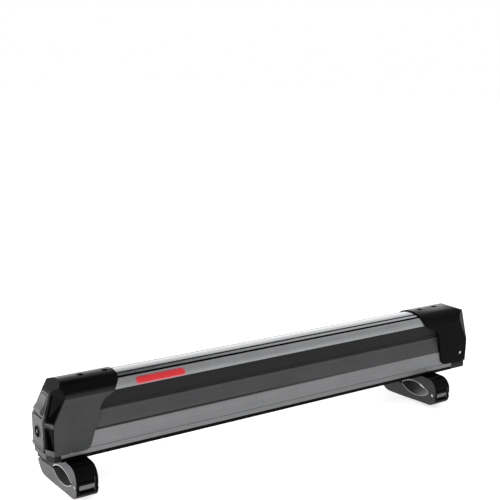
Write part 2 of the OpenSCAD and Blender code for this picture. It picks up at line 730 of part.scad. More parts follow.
module mounting_bolt() color(steel) difference() {
  union() {
    translate([0, 0, -13]) cylinder(r = 3, h = 20.6);
    translate([0, 0, -17.4]) cylinder(r = 5.4, h = 5.4);
  }
  translate([0, 0, -18]) cylinder(r = 2.5, h = 4, $fn = 6);
}

// ---- the parts -----------------------------------------------------------

place() lower_rail();
place() lower_pad();
place() pad_end_stop();
place() latch_base();
place() release_indicators();
place() striker_bar();
place() hinge_base();
place() base_end_screws();
place() hinge_pin();
place() hinge_pin_clips();
place() upper_rail();
place() upper_pad();
place() latch_cap();
place() latch_end_cover();
place() lock_housing();
place() lock_cylinder();
place() lock_cam();
place() release_button();
place() button_spring();
place() latch_pawl();
place() pawl_pin();
place() pawl_spring();
place() hinge_cap();
place() hinge_bushes();
place() cap_screws();
latch_foot() upper_jaw();  // latch_foot_upper_jaw
latch_foot() lower_jaw();  // latch_foot_lower_jaw
latch_foot() jaw_pin();  // latch_foot_jaw_pin
latch_foot() clamp_screw();  // latch_foot_clamp_screw
latch_foot() barrel_nut();  // latch_foot_barrel_nut
latch_foot() upper_liner();  // latch_foot_upper_liner
latch_foot() lower_liner();  // latch_foot_lower_liner
latch_foot() slide_nut();  // latch_foot_slide_nut
latch_foot() mounting_bolt();  // latch_foot_mounting_bolt
hinge_foot() upper_jaw();  // hinge_foot_upper_jaw
hinge_foot() lower_jaw();  // hinge_foot_lower_jaw
hinge_foot() jaw_pin();  // hinge_foot_jaw_pin
hinge_foot() clamp_screw();  // hinge_foot_clamp_screw
hinge_foot() barrel_nut();  // hinge_foot_barrel_nut
hinge_foot() upper_liner();  // hinge_foot_upper_liner
hinge_foot() lower_liner();  // hinge_foot_lower_liner
hinge_foot() slide_nut();  // hinge_foot_slide_nut
hinge_foot() mounting_bolt();  // hinge_foot_mounting_bolt
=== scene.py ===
# A hinged ski rack: a lower rail on two clamp feet and an arm that closes over it, each with a
# rubber pad. X runs from the latch end to the hinge end, Y across the rack and Z up; the near
# side faces -Y. The pieces come from the CAD file. This script replaces the two pads, adds a
# red bar, and sets up the materials and the studio.
import math

import bmesh
import bpy
import numpy as np
from mathutils import Matrix, Vector


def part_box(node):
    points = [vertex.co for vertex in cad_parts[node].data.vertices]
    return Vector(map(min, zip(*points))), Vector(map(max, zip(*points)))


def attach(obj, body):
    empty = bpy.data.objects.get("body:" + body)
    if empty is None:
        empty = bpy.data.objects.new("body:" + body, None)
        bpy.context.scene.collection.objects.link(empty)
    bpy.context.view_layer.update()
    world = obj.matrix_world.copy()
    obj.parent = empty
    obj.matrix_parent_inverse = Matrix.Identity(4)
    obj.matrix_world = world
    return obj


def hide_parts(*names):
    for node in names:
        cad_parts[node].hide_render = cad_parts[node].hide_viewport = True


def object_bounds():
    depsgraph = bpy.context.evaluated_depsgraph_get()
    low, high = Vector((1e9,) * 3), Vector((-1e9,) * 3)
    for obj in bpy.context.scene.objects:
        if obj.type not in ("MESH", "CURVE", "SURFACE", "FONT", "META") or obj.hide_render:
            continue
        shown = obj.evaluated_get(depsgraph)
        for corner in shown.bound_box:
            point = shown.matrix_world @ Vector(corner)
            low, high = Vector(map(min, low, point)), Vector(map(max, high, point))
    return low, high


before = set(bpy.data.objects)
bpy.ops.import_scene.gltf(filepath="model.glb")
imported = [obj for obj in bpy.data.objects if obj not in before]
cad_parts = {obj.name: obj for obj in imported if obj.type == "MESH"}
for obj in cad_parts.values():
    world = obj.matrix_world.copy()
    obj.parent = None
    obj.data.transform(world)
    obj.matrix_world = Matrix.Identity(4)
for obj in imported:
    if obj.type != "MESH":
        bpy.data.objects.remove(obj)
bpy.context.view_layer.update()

# ------------------------------------------------------------------- places --
# Rail coordinates are in millimetres: X from the edge of the latch side panel, Y from the
# rack's middle plane, Z from the underside of the lower rail.
RAIL_START = 12.0
RAIL_TOP = 39.0

rail_low, rail_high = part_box("lower_rail")
ORIGIN = {
    "X": rail_low.x - RAIL_START / 1000,
    "Y": (rail_low.y + rail_high.y) / 2,
    "Z": rail_high.z - RAIL_TOP / 1000,
}

pin_low, pin_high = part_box("hinge_pin")
PIN_X = (pin_low.x + pin_high.x) / 2
PIN_Z = (pin_low.z + pin_high.z) / 2


def rail_point(x, y, z):
    """A point in rail coordinates, moved to the frame of the CAD pieces in metres."""
    return Vector((ORIGIN["X"] + x / 1000, ORIGIN["Y"] + y / 1000, ORIGIN["Z"] + z / 1000))


# -------------------------------------------------------------- node helpers --

UP = (0, 1)
DOWN = (1, 0)


class Graph:
    """An emptied node tree with short calls for the nodes used here. Lengths are in metres."""

    def __init__(self, tree, coordinate):
        self.tree = tree
        tree.nodes.clear()
        self.coordinate = self.node("ShaderNodeTexCoord").outputs[coordinate]

    def plug(self, socket, value):
        """Links a socket, or sets a plain value; colours get full alpha."""
        if isinstance(value, bpy.types.NodeSocket):
            self.tree.links.new(value, socket)
        elif socket.type == "RGBA":
            socket.default_value = (*value, 1.0)
        else:
            socket.default_value = value

    def node(self, kind, **inputs):
        node = self.tree.nodes.new(kind)
        for name, value in inputs.items():
            self.plug(node.inputs[name.replace("_", " ")], value)
        return node

    def remap(self, value, source, target=UP, smooth=False):
        node = self.node("ShaderNodeMapRange", Value=value, From_Min=source[0],
                         From_Max=source[1], To_Min=target[0], To_Max=target[1])
        if smooth:
            node.interpolation_type = "SMOOTHSTEP"
        return node.outputs["Result"]


class Surface(Graph):
    """A Principled material in object coordinates."""

    def __init__(self, name, **inputs):
        self.material = bpy.data.materials.new(name)
        self.material.use_nodes = True
        super().__init__(self.material.node_tree, "Object")
        self.shader = self.node("ShaderNodeBsdfPrincipled")
        self.node("ShaderNodeOutputMaterial", Surface=self.shader.outputs[0])
        self.set(**inputs)

    def set(self, **inputs):
        for name, value in inputs.items():
            self.plug(self.shader.inputs[name.replace("_", " ")], value)

    def noise(self, scale, detail=2.0, roughness=0.5, stretch=None):
        vector = self.coordinate
        if stretch:
            vector = self.node("ShaderNodeMapping", Vector=vector, Scale=stretch).outputs[0]
        return self.node("ShaderNodeTexNoise", Vector=vector, Scale=scale, Detail=detail,
                         Roughness=roughness).outputs["Fac"]

    def math(self, operation, a, b=0.0):
        node = self.node("ShaderNodeMath")
        node.operation = operation
        self.plug(node.inputs[0], a)
        self.plug(node.inputs[1], b)
        return node.outputs[0]

    def plus(self, a, b):
        return self.math("ADD", a, b)

    def minus(self, a, b):
        return self.math("SUBTRACT", a, b)

    def times(self, a, b):
        return self.math("MULTIPLY", a, b)

    def weigh(self, values, weights):
        """The sum of the values, each times its weight."""
        term = self.times(values[0], weights[0])
        if len(values) == 1:
            return term
        return self.plus(term, self.weigh(values[1:], weights[1:]))

    def mix(self, factor, a, b):
        node = self.node("ShaderNodeMix")
        node.data_type = "RGBA"
        # the colour sockets of a Mix node are inputs 6 and 7 and output 2
        for index, value in ((0, factor), (6, a), (7, b)):
            self.plug(node.inputs[index], value)
        return node.outputs[2]

    def axis(self, letter):
        return self.node("ShaderNodeSeparateXYZ", Vector=self.coordinate).outputs[letter]

    def side(self):
        """Distance from the rack's middle plane."""
        return self.math("ABSOLUTE", self.minus(self.axis("Y"), ORIGIN["Y"]))

    def step(self, where, span, target=UP, smooth=False):
        """A ramp over a span in mm, along a rail axis or along "side"."""
        value = self.side() if where == "side" else self.axis(where)
        origin = ORIGIN.get(where, 0.0)
        source = [origin + length / 1000 for length in span]
        return self.remap(value, source, target, smooth)

    def radius(self, *centre):
        """Distance from a line, given as two (axis letter, place) pairs."""
        a, b = [self.minus(self.axis(letter), place) for letter, place in centre]
        return self.math("SQRT", self.plus(self.times(a, a), self.times(b, b)))

    def facing_x(self, source):
        """Near 1 on the faces that look along the rack."""
        normal = self.node("ShaderNodeNewGeometry").outputs["Normal"]
        split = self.node("ShaderNodeSeparateXYZ", Vector=normal)
        return self.remap(self.math("ABSOLUTE", split.outputs["X"]), source, smooth=True)

    def bump(self, height, strength, distance, below=None):
        node = self.node("ShaderNodeBump", Height=height, Strength=strength, Distance=distance)
        if below is not None:
            self.plug(node.inputs["Normal"], below)
        return node.outputs[0]


# ---------------------------------------------------------------- materials --

TONE_SPAN = (0.38, 0.62)  # stretch of mixed noise that goes from the dark to the light tone
NOISE_SPAN = (0.3, 0.7)  # stretch of one noise that drives the roughness

# painted shade: the near black of the grooves on the arm's top and of the recessed foot
PAINTED_RECESS_SHADE = (0.006, 0.006, 0.0065)
END_ROUGHNESS = 0.6


def anodised(name, dark, light, roughness, shaded_bands=(), foot=False):
    """Extruded aluminium: fine die lines along X, longer streaks and a slow mottle.
    bands are (from, to) distances from the middle plane in mm where painted shade darkens the
    grooves on the top; foot paints shade on the recessed foot along the underside."""
    m = Surface(name, Metallic=1.0, Anisotropic=0.35)
    lines = m.noise(scale=1.0, detail=3.0, roughness=0.65, stretch=(6.0, 2600.0, 2600.0))
    streak = m.noise(scale=1.0, stretch=(2.2, 260.0, 260.0))
    mottle = m.noise(scale=34.0, detail=3.0, roughness=0.55)
    tone = m.weigh((lines, streak, mottle), (0.18, 0.5, 0.32))
    color = m.mix(m.remap(tone, (0.36, 0.64)), dark, light)
    # painted shade in the grooves along the top
    for start, end in shaded_bands:
        inside = m.times(m.step("side", (start - 0.1, start)),
                         m.step("side", (end, end + 0.1), DOWN))
        above = m.step("Z", (104.0, 104.2))
        color = m.mix(m.times(inside, above), color, PAINTED_RECESS_SHADE)
    if foot:
        # painted shade on the recessed foot along the underside
        color = m.mix(m.step("Z", (4.2, 4.5), DOWN), color, PAINTED_RECESS_SHADE)
    line_relief = m.bump(lines, strength=0.12, distance=0.00004)
    m.set(
        Base_Color=color,
        Roughness=m.plus(m.remap(lines, NOISE_SPAN, (roughness - 0.035, roughness + 0.035)),
                         m.remap(mottle, (0.35, 0.65), (-0.02, 0.02))),
        Normal=m.bump(m.noise(scale=5200.0, detail=1.0), strength=0.03, distance=0.00002,
                      below=line_relief),
    )
    return m.material


def plastic_noises(m):
    """The tone, fine speck and handling haze of moulded plastic."""
    mottle = m.noise(scale=26.0, detail=4.0, roughness=0.6)
    speck = m.noise(scale=900.0, roughness=0.6)
    haze = m.noise(scale=9.0, detail=5.0, roughness=0.62)
    return m.weigh((mottle, speck), (0.6, 0.4)), speck, haze


def plastic_grain(m):
    return m.noise(scale=2300.0, roughness=0.55)


def plastic_normal(m, grain, strength):
    """Spark-eroded grain over a slow unevenness."""
    fine = m.bump(grain, strength, distance=0.00012)
    return m.bump(m.noise(scale=60.0), strength=0.04, distance=0.0008, below=fine)


def moulded(name, dark, light, roughness, specular, grain=0.10, lit_end_grey=None, knuckle=False):
    """Injection-moulded plastic. ends is painted light: a paler grey on the faces that look
    along the rack, where the light falls on them, which are also made rougher; knuckle keeps
    that painted light off the tail of the jaw across the rack and makes the barrel grey metal."""
    m = Surface(name, Specular_IOR_Level=specular)
    tone, speck, haze = plastic_noises(m)
    color = m.mix(m.remap(tone, TONE_SPAN), dark, light)
    rough = m.plus(m.remap(haze, (0.35, 0.7), (roughness - 0.04, roughness + 0.05)),
                   m.remap(speck, NOISE_SPAN, (-0.02, 0.02)))
    # painted light: the faces that look along the rack get a paler grey where the light falls
    # on them
    if lit_end_grey is not None:
        grey = (lit_end_grey, lit_end_grey, lit_end_grey + 0.002)
        lit_end_mask = m.facing_x((0.93, 0.985))
        # the painted light stops short of the jaw's tail across the rack, which stays dark
        if knuckle:
            lit_end_mask = m.times(lit_end_mask, m.step("Y", (12.0, 16.0), DOWN, smooth=True))
        end_light_color = m.mix(m.remap(tone, TONE_SPAN), [0.85 * c for c in grey],
                          [1.15 * c for c in grey])
        color = m.mix(lit_end_mask, color, end_light_color)
        rough = m.plus(rough, m.times(lit_end_mask, END_ROUGHNESS - roughness))
    if knuckle:
        # a narrow ring about the barrel's axis, on the near half only
        radius = m.radius(("Y", ORIGIN["Y"] - 0.067), ("Z", ORIGIN["Z"] - 0.033))
        ring = m.times(m.remap(radius, (0.0078, 0.0079), DOWN),
                       m.remap(radius, (0.0072, 0.0073)))
        barrel = m.times(ring, m.step("Y", (-67.2, -67.0), DOWN))
        color = m.mix(barrel, color, (0.16, 0.16, 0.165))
        m.set(Metallic=m.times(barrel, 0.8))
    m.set(Base_Color=color, Roughness=rough, Normal=plastic_normal(m, plastic_grain(m), grain))
    return m.material


def rubber(name, dark, light, roughness, specular, gap_shadow=False):
    """Extruded rubber: patches of matte bloom, faint lines along X and an open grain."""
    m = Surface(name, Specular_IOR_Level=specular, Sheen_Weight=0.06, Sheen_Roughness=0.5)
    lines = m.noise(scale=1.0, roughness=0.6, stretch=(3.0, 900.0, 900.0))
    bloom = m.noise(scale=14.0, detail=5.0, roughness=0.62)
    grain = m.noise(scale=1500.0, detail=3.0, roughness=0.6)
    tone = m.weigh((lines, bloom, grain), (0.3, 0.45, 0.25))
    color = m.mix(m.remap(tone, TONE_SPAN), dark, light)
    if gap_shadow:
        # painted shadow in the gap where the pad sits in its rail, closing towards the hinge
        gap_shadow_mask = m.times(m.step("Z", (41.3, 42.1), DOWN, smooth=True),
                      m.step("X", (300.0, 660.0), DOWN, smooth=True))
        color = m.mix(gap_shadow_mask, color, (0.001, 0.001, 0.0011))
    grain_relief = m.bump(grain, strength=0.22, distance=0.00012)
    m.set(
        Base_Color=color,
        Roughness=m.remap(bloom, NOISE_SPAN, (roughness - 0.07, roughness + 0.06)),
        Normal=m.bump(lines, strength=0.12, distance=0.0001, below=grain_relief),
    )
    return m.material


def liner_rubber(name, dark, light, edge, roughness, pitch):
    """Moulded liner: a fine raised crosshatch of the given pitch, and painted light on the
    faces that look along the rack, which take the much paler edge colour.
    """
    m = Surface(name, Specular_IOR_Level=0.35)
    # painted highlight: the faces that look along the rack get the pale edge colour
    lit_lip_mask = m.facing_x((0.6, 0.9))
    waves = [m.math("SINE", m.times(m.axis(letter), 2 * math.pi / pitch)) for letter in "XY"]
    grid = m.math("MAXIMUM", *waves)
    bloom = m.noise(scale=40.0, detail=4.0, roughness=0.6)
    tone = m.weigh((m.remap(grid, (0.2, 0.95)), m.remap(bloom, (0.35, 0.65))), (0.6, 0.4))
    grid_relief = m.bump(grid, strength=0.35, distance=0.0003)
    m.set(
        Base_Color=m.mix(lit_lip_mask, m.mix(tone, dark, light), edge),
        Roughness=m.remap(bloom, NOISE_SPAN, (roughness - 0.06, roughness + 0.06)),
        Normal=m.bump(m.noise(scale=1500.0, detail=3.0, roughness=0.6), strength=0.15,
                      distance=0.0001, below=grid_relief),
    )
    return m.material


def metal_grain(m):
    return m.noise(scale=2600.0, roughness=0.6)


def pin_steel(name):
    """Headed pin: painted shade, near black, round the rim of each head, and bright in the
    middle of each end.
    """
    m = Surface(name, Metallic=1.0)
    radius = m.radius(("X", PIN_X), ("Z", PIN_Z))
    grain = metal_grain(m)
    # painted shade: near black round the rim of each head, where the pin sits in its recess
    rim_shade = m.times(m.remap(radius, (0.0019, 0.0022)), m.step("side", (41.0, 41.4)))
    bright = m.mix(grain, (0.62, 0.62, 0.63), (0.82, 0.82, 0.83))
    m.set(
        Base_Color=m.mix(rim_shade, bright, (0.010, 0.010, 0.0105)),
        Roughness=m.remap(grain, NOISE_SPAN, (0.24, 0.36)),
        Normal=m.bump(grain, strength=0.08, distance=0.00006),
    )
    return m.material


def lock_plug(name):
    """Lock plug: black, with a painted glint: a bright steel strip inside the keyway."""
    m = Surface(name, Specular_IOR_Level=0.0)
    height = m.math("ABSOLUTE", m.minus(m.axis("Z"), ORIGIN["Z"] + 0.041))
    # painted glint: bright metal in a narrow strip of the keyway
    keyway_glint = m.times(m.step("side", (1.0, 1.2), DOWN), m.remap(height, (0.0028, 0.0030), DOWN))
    grain = metal_grain(m)
    black = m.mix(grain, (0.004, 0.004, 0.0045), (0.009, 0.009, 0.0095))
    bright = m.mix(grain, (0.70, 0.70, 0.71), (0.85, 0.85, 0.86))
    m.set(
        Base_Color=m.mix(keyway_glint, black, bright),
        Metallic=keyway_glint,
        Roughness=m.remap(grain, NOISE_SPAN, (0.18, 0.30)),
        Normal=m.bump(grain, strength=0.06, distance=0.00005),
    )
    return m.material


def steel(name, dark, light, roughness):
    """Plated steel: crystalline mottle and slightly uneven roughness."""
    m = Surface(name, Metallic=1.0)
    crystals = m.node("ShaderNodeTexVoronoi", Vector=m.coordinate, Scale=700.0)
    grain = metal_grain(m)
    tone = m.weigh((crystals.outputs["Distance"], grain), (0.5, 0.5))
    m.set(
        Base_Color=m.mix(m.remap(tone, (0.2, 0.7)), dark, light),
        Roughness=m.remap(grain, NOISE_SPAN, (roughness - 0.06, roughness + 0.08)),
        Normal=m.bump(grain, strength=0.08, distance=0.00006),
    )
    return m.material


CAP_GLOSS = (0.003, 0.003, 0.0035)
CAP_GLOSS_ROUGHNESS = 0.22
CAP_GLOSS_SPECULAR = 0.04
# The facet at each latch cap corner: its outward normal (X, away from the middle plane, Z)
# and a point on it (X, distance from the middle plane, Z) in metres
FACET_NORMAL = (-0.785, 0.476, 0.396)
FACET_POINT = (0.0008, 0.042, 0.059)


def paint_lit_webs(m, color, web_light_color):
    """Paints light on the two ledges that close the recess in each corner, as a grey that
    stands in for the light falling on them.
    """
    # painted light on the upper and lower ledges in the corner recess
    upper = m.times(m.step("Z", (55.4, 55.7)), m.step("Z", (61.8, 62.2), DOWN))
    lower = m.step("Z", (19.8, 20.1), DOWN)
    web = m.times(m.plus(upper, lower), m.step("side", (25.2, 25.6)))
    web = m.times(web, m.step("X", (0.6, 1.0), DOWN))
    return m.mix(web, color, web_light_color)


def shade_finger_hollows(m, color):
    """Paints shade, near black, on the floor of the finger recess in each corner facet."""
    normal = m.node("ShaderNodeTexCoord").outputs["Normal"]
    split = m.node("ShaderNodeSeparateXYZ", Vector=normal).outputs
    facing = m.weigh((split["X"], m.math("ABSOLUTE", split["Y"]), split["Z"]), FACET_NORMAL)
    x, side, z = FACET_POINT
    offset = (m.minus(m.axis("X"), ORIGIN["X"] + x), m.minus(m.side(), side),
              m.minus(m.axis("Z"), ORIGIN["Z"] + z))
    depth = m.weigh(offset, FACET_NORMAL)
    # painted shade: the pocket floor goes near black
    hollow_shade = m.times(m.remap(facing, (0.93, 0.96)), m.remap(depth, (-0.0009, -0.0006), DOWN))
    return m.mix(hollow_shade, color, (0.0008, 0.0008, 0.0009))


def cap_plastic(name, low_shoulder_light, panel, panel_roughness, panel_specular, lit_webs=None):
    """Cap: polished shoulders that grow paler low down, and textured side plates.
    fade is painted reflection: that paler colour, standing in for the bright room mirrored low
    on the shoulders.
    webs is the painted light on the corner ledges, on the cap that has them."""
    m = Surface(name)
    tone, _, haze = plastic_noises(m)
    on_panel = m.step("side", (41.65, 41.85), smooth=True)
    # painted reflection: the shoulders get lighter low down, near the side plates
    low = m.times(m.step("Z", (98.0, 106.0), DOWN, smooth=True),
                  m.step("X", (19.0, 24.0), smooth=True))
    color = m.mix(on_panel, m.mix(low, CAP_GLOSS, low_shoulder_light), panel)
    if lit_webs:
        color = shade_finger_hollows(m, paint_lit_webs(m, color, lit_webs))
    shade = m.node("ShaderNodeVectorMath")
    shade.operation = "SCALE"
    m.plug(shade.inputs[0], color)
    m.plug(shade.inputs["Scale"], m.remap(tone, TONE_SPAN, (0.82, 1.18)))
    grain = m.times(plastic_grain(m), m.remap(on_panel, UP, (0.25, 1.0)))
    m.set(
        Base_Color=shade.outputs[0],
        Roughness=m.plus(m.remap(on_panel, UP, (CAP_GLOSS_ROUGHNESS, panel_roughness)),
                         m.remap(haze, (0.35, 0.7), (-0.03, 0.05))),
        Specular_IOR_Level=m.remap(on_panel, UP, (CAP_GLOSS_SPECULAR, panel_specular)),
        Normal=plastic_normal(m, grain, strength=0.13),
    )
    return m.material


MATERIALS = {
    "alu_base": anodised("anodised_base", dark=(0.197, 0.198, 0.200),
                         light=(0.239, 0.240, 0.243), roughness=0.40, foot=True),
    "alu_arm": anodised("anodised_arm", dark=(0.31, 0.312, 0.315), light=(0.39, 0.392, 0.396),
                        roughness=0.27, shaded_bands=((11.9, 16.1), (21.3, 25.4))),
    # the lower pad gets a painted shadow in its gap to the rail
    "pad_low": rubber("rubber_lower_pad", dark=(0.040, 0.040, 0.041),
                      light=(0.058, 0.058, 0.060), roughness=0.62, specular=0.3, gap_shadow=True),
    # the upper pad is a darker copy of the pad rubber: painted shade for its side, which faces
    # down
    "pad_top_shaded": rubber("rubber_upper_pad_shaded", dark=(0.006, 0.006, 0.0065),
                      light=(0.011, 0.011, 0.0115), roughness=0.60, specular=0.16),
    # the liner's edge colour is painted light
    "liner": liner_rubber("rubber_liner", dark=(0.035, 0.035, 0.036),
                          light=(0.060, 0.060, 0.061), edge=(0.34, 0.34, 0.345),
                          roughness=0.48, pitch=0.0026),
    # the base gets painted light on its end faces
    "base": moulded("moulded_base", dark=(0.007, 0.007, 0.0075), light=(0.012, 0.012, 0.0125),
                    roughness=0.36, specular=0.14, lit_end_grey=0.070),
    "stop": moulded("moulded_stop", dark=(0.012, 0.012, 0.013), light=(0.020, 0.020, 0.021),
                    roughness=0.50, specular=0.35),
    "cover": moulded("moulded_cover", dark=(0.062, 0.062, 0.0635),
                     light=(0.082, 0.082, 0.084), roughness=0.62, specular=0.20),
    "button": moulded("moulded_button", dark=(0.064, 0.064, 0.0655),
                      light=(0.088, 0.088, 0.090), roughness=0.58, specular=0.20),
    "nylon": moulded("natural_nylon", dark=(0.62, 0.61, 0.56), light=(0.74, 0.73, 0.68),
                     roughness=0.42, specular=0.4),
    "red": moulded("red_plastic", dark=(0.60, 0.018, 0.024), light=(0.72, 0.026, 0.034),
                   roughness=0.36, specular=0.35, grain=0.03),
    "zinc": steel("zinc_plated_steel", dark=(0.46, 0.47, 0.48), light=(0.64, 0.65, 0.66),
                  roughness=0.32),
    "black_screw": moulded("blackened_screw", dark=(0.003, 0.003, 0.0035),
                           light=(0.007, 0.007, 0.0075), roughness=0.42, specular=0.0,
                           grain=0.04),
    "hinge_pin": pin_steel("hinge_pin_steel"),
    "spring": steel("spring_wire", dark=(0.42, 0.42, 0.43), light=(0.60, 0.60, 0.62),
                    roughness=0.30),
    "lock": lock_plug("lock_plug"),
    "clip": steel("blackened_clip", dark=(0.012, 0.012, 0.0125), light=(0.022, 0.022, 0.023),
                  roughness=0.34),
    # The latch cap and the hinge cap are lit and shaded copies of one plastic: their fade and
    # panel colours are painted light and painted shade
    "latch_cap": cap_plastic("cap_plastic_latch_lit", low_shoulder_light=(0.030, 0.030, 0.031),
                             panel=(0.037, 0.037, 0.038), panel_roughness=0.55,
                             panel_specular=0.28, lit_webs=(0.07, 0.07, 0.072)),
    "hinge_cap": cap_plastic("cap_plastic_hinge_shaded", low_shoulder_light=(0.0035, 0.0035, 0.004),
                             panel=(0.0030, 0.0030, 0.0034), panel_roughness=0.38,
                             panel_specular=0.04),
}

# Painted light on the jaws' end faces, as a grey; the foot under the hinge, further from the
# light, gets the darker grey
FEET = {"latch_foot_": 0.092, "hinge_foot_": 0.052}
for foot, painted_end_light in FEET.items():
    for jaw, knuckle in (("jaw", False), ("upper_jaw", True)):
        MATERIALS[foot + jaw] = moulded(
            foot + "moulded_" + jaw, dark=(0.0012, 0.0012, 0.0014),
            light=(0.0024, 0.0024, 0.0027), roughness=0.22, specular=0.045, grain=0.05,
            lit_end_grey=painted_end_light, knuckle=knuckle)

# ----------------------------------------------------------- the CAD pieces --

# Piece: its material and the rounding of its real edges in mm (None for the wire springs)
FINISHES = {
    "lower_rail": ("alu_base", 0.3),
    "upper_rail": ("alu_arm", 0.22),
    "pad_end_stop": ("stop", 0.6),
    "latch_base": ("base", 0.6),
    "hinge_base": ("base", 0.7),
    "release_indicators": ("red", 0.35),
    "striker_bar": ("zinc", 0.4),
    "base_end_screws": ("zinc", 0.25),
    "hinge_pin": ("hinge_pin", 0.35),
    "hinge_pin_clips": ("clip", 0.08),
    "latch_cap": ("latch_cap", 0.55),
    "hinge_cap": ("hinge_cap", 0.6),
    "latch_end_cover": ("cover", 0.5),
    "lock_housing": ("black_screw", 0.3),
    "lock_cylinder": ("lock", 0.3),
    "lock_cam": ("zinc", 0.25),
    "release_button": ("button", 0.6),
    "button_spring": ("spring", None),
    "latch_pawl": ("zinc", 0.35),
    "pawl_pin": ("zinc", 0.25),
    "pawl_spring": ("spring", None),
    "hinge_bushes": ("nylon", 0.2),
    "cap_screws": ("black_screw", 0.22),
}
for foot in FEET:
    FINISHES.update({
        foot + "upper_jaw": (foot + "upper_jaw", 0.7),
        foot + "lower_jaw": (foot + "jaw", 0.7),
        foot + "jaw_pin": ("zinc", 0.3),
        foot + "clamp_screw": ("zinc", 0.35),
        foot + "barrel_nut": ("zinc", 0.3),
        foot + "upper_liner": ("liner", 0.25),
        foot + "lower_liner": ("liner", 0.25),
        foot + "slide_nut": ("zinc", 0.4),
        foot + "mounting_bolt": ("zinc", 0.3),
    })


def modify(part, name, kind, **settings):
    modifier = part.modifiers.new(name, kind)
    for key, value in settings.items():
        setattr(modifier, key, value)


def smooth_faces(mesh):
    for face in mesh.polygons:
        face.use_smooth = True


def drop_stored_normals(mesh):
    for name in ("custom_normal", "sharp_edge"):
        attribute = mesh.attributes.get(name)
        if attribute is not None:
            mesh.attributes.remove(attribute)


def round_edges(part, width):
    """Merges flat faces, rounds the real edges by width in mm and weights the normals."""
    modify(part, "planar", "DECIMATE", decimate_type="DISSOLVE", angle_limit=math.radians(0.6))
    modify(part, "round", "BEVEL", width=width / 1000, segments=3, limit_method="ANGLE",
           angle_limit=math.radians(28.0), miter_outer="MITER_ARC", use_clamp_overlap=True)
    modify(part, "normals", "WEIGHTED_NORMAL", mode="FACE_AREA", weight=80, keep_sharp=True)


for name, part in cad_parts.items():
    if name in ("lower_pad", "upper_pad"):
        continue
    material, rounding = FINISHES[name]
    part.data.materials.clear()
    part.data.materials.append(MATERIALS[material])
    drop_stored_normals(part.data)
    smooth_faces(part.data)
    modify(part, "weld", "WELD", merge_threshold=2e-6)
    if rounding is None:
        modify(part, "subdivide", "SUBSURF", levels=1, render_levels=1)
    else:
        round_edges(part, rounding)

# --------------------------------------------------------------- new pieces --


def mesh_object(name, bm):
    mesh = bpy.data.meshes.new(name)
    bm.to_mesh(mesh)
    bm.free()
    made = bpy.data.objects.new(name, mesh)
    bpy.context.scene.collection.objects.link(made)
    return made


def add_piece(name, bm, body, material):
    bmesh.ops.recalc_face_normals(bm, faces=bm.faces)
    made = mesh_object(name, bm)
    smooth_faces(made.data)
    made.data.materials.append(MATERIALS[material])
    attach(made, body)
    return made


# The pads meet at the parting plane. All sizes are in mm.
PARTING_Z = 69.0
RIB_PITCH = 7.5
RIB_DEPTH = 0.62
RIB_ROOT = 0.95  # from the parting plane to the bottom of the grooves
RIB_STEP = 0.5
RIB_STEPS = 60
ARC_STEPS = 5
STRAIGHT_ANGLE = math.radians(178)  # flatter corners are left as a single point
PAD_ROWS = 96
PAD_HALF_WIDTH = 36.0

# Side of each pad from its ribbed face, round the rolled lip and crease, down the flared side
# and in under the back. Columns: y, distance from the parting plane, corner radius.
# The first and last points only give directions and are dropped.
LOWER_PAD_SIDE = (
    (30.0, 0.5, 0.0), (31.0, 0.5, 0.9), (33.1, 1.6, 1.6), (33.85, 3.6, 1.8),
    (33.1, 5.6, 0.8), (33.3, 6.6, 1.2), (34.3, 9.5, 8.0), (37.0, 21.4, 12.0),
    (37.9, 26.6, 8.0), (38.15, 28.4, 1.2), (37.9, 29.85, 0.6), (9.9, 29.92, 0.1),
    (9.9, 39.0, 0.0),
)
UPPER_PAD_SIDE = (
    (30.0, 0.5, 0.0), (31.0, 0.5, 0.9), (33.1, 1.6, 1.6), (33.85, 3.6, 1.8),
    (33.1, 5.4, 0.8), (33.3, 6.6, 1.2), (34.2, 9.5, 8.0), (36.8, 19.6, 12.0),
    (37.5, 24.6, 8.0), (37.7, 26.5, 1.2), (37.5, 27.9, 0.6), (9.9, 27.93, 0.1),
    (9.9, 37.0, 0.0),
)


def rounded(corners):
    """Outline through (y, z, radius) corners, each replaced by an arc where it has a radius."""
    points = [np.array(corner[:2]) for corner in corners]
    outline = []
    for i, (y, z, radius) in enumerate(corners):
        back = points[i - 1] - points[i]
        ahead = points[(i + 1) % len(points)] - points[i]
        back_length, ahead_length = np.linalg.norm(back), np.linalg.norm(ahead)
        back, ahead = back / back_length, ahead / ahead_length
        angle = math.acos(max(-1, min(1, back @ ahead)))
        if radius <= 0 or angle > STRAIGHT_ANGLE:
            outline.append((y, z))
            continue
        # neighbouring arcs may take up no more than 0.48 of an edge each
        slope = math.tan(angle / 2)
        reach = min(radius / slope, back_length * 0.48, ahead_length * 0.48)
        radius = reach * slope
        bisector = (back + ahead) / np.linalg.norm(back + ahead)
        centre = points[i] + bisector * (radius / math.sin(angle / 2))
        start = points[i] + back * reach - centre
        end = points[i] + ahead * reach - centre
        first = math.atan2(start[1], start[0])
        turn = (math.atan2(end[1], end[0]) - first + math.pi) % (2 * math.pi) - math.pi
        for j in range(ARC_STEPS + 1):
            theta = first + turn * j / ARC_STEPS
            outline.append((centre[0] + radius * math.cos(theta),
                            centre[1] + radius * math.sin(theta)))
    return outline


